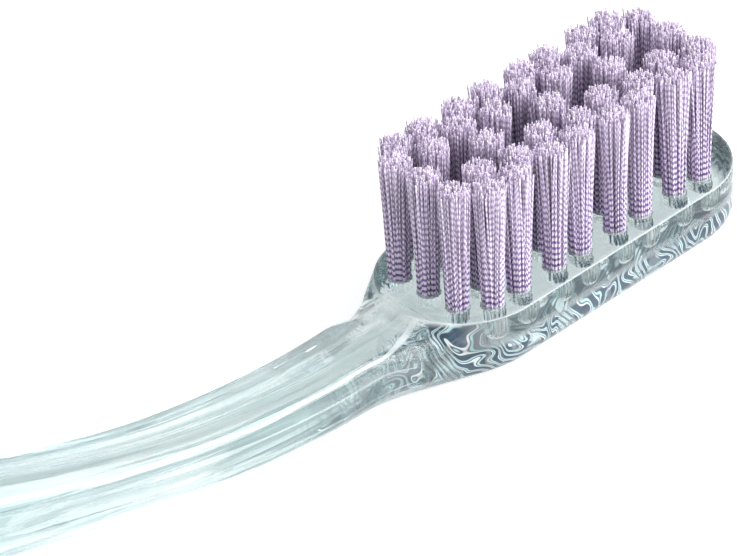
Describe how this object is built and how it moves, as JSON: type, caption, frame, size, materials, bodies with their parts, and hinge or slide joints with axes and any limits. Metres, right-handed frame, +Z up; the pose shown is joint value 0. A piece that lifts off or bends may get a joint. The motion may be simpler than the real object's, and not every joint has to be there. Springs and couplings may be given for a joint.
{
  "type": "manual toothbrush",
  "caption": "Manual toothbrush: a clear one-piece head, slim neck and arched grip, with round tufts of striped bristles trimmed flat.",
  "frame": {"origin": "middle of the surface that the brush covers when it lies on its back, at the height of that surface", "axes": "+X along the brush towards the tip of the head, +Y across it, +Z up, the way the bristles point"},
  "size_m": [0.188, 0.0124, 0.02],
  "materials": {
    "clear_plastic": "clear, faintly blue-green moulded plastic, polished",
    "bristle": "lavender nylon filament with fine darker bands"
  },
  "bodies": {
    "root": {"handle": "clear_plastic", "tuft_row_1_left": "bristle", "tuft_row_1_middle": "bristle", "tuft_row_1_right": "bristle", "tuft_outer_pair_1_left": "bristle", "tuft_outer_pair_1_right": "bristle", "tuft_inner_pair_1_left": "bristle", "tuft_inner_pair_1_right": "bristle", "tuft_rear_pair_1_left": "bristle", "tuft_rear_pair_1_right": "bristle", "tuft_row_2_left": "bristle", "tuft_row_2_middle": "bristle", "tuft_row_2_right": "bristle", "tuft_outer_pair_2_left": "bristle", "tuft_outer_pair_2_right": "bristle", "tuft_inner_pair_2_left": "bristle", "tuft_inner_pair_2_right": "bristle", "tuft_rear_pair_2_left": "bristle", "tuft_rear_pair_2_right": "bristle", "tuft_row_3_left": "bristle", "tuft_row_3_middle": "bristle", "tuft_row_3_right": "bristle", "tuft_outer_pair_3_left": "bristle", "tuft_outer_pair_3_right": "bristle", "tuft_inner_pair_3_left": "bristle", "tuft_inner_pair_3_right": "bristle", "tuft_rear_pair_3_left": "bristle", "tuft_rear_pair_3_right": "bristle", "tuft_row_4_left": "bristle", "tuft_row_4_middle": "bristle", "tuft_row_4_right": "bristle", "tuft_outer_pair_4_left": "bristle", "tuft_outer_pair_4_right": "bristle", "tuft_inner_pair_4_left": "bristle", "tuft_inner_pair_4_right": "bristle", "tuft_rear_pair_4_left": "bristle", "tuft_rear_pair_4_right": "bristle", "tuft_row_5_left": "bristle", "tuft_row_5_middle": "bristle", "tuft_row_5_right": "bristle"}
  },
  "joints": []
}
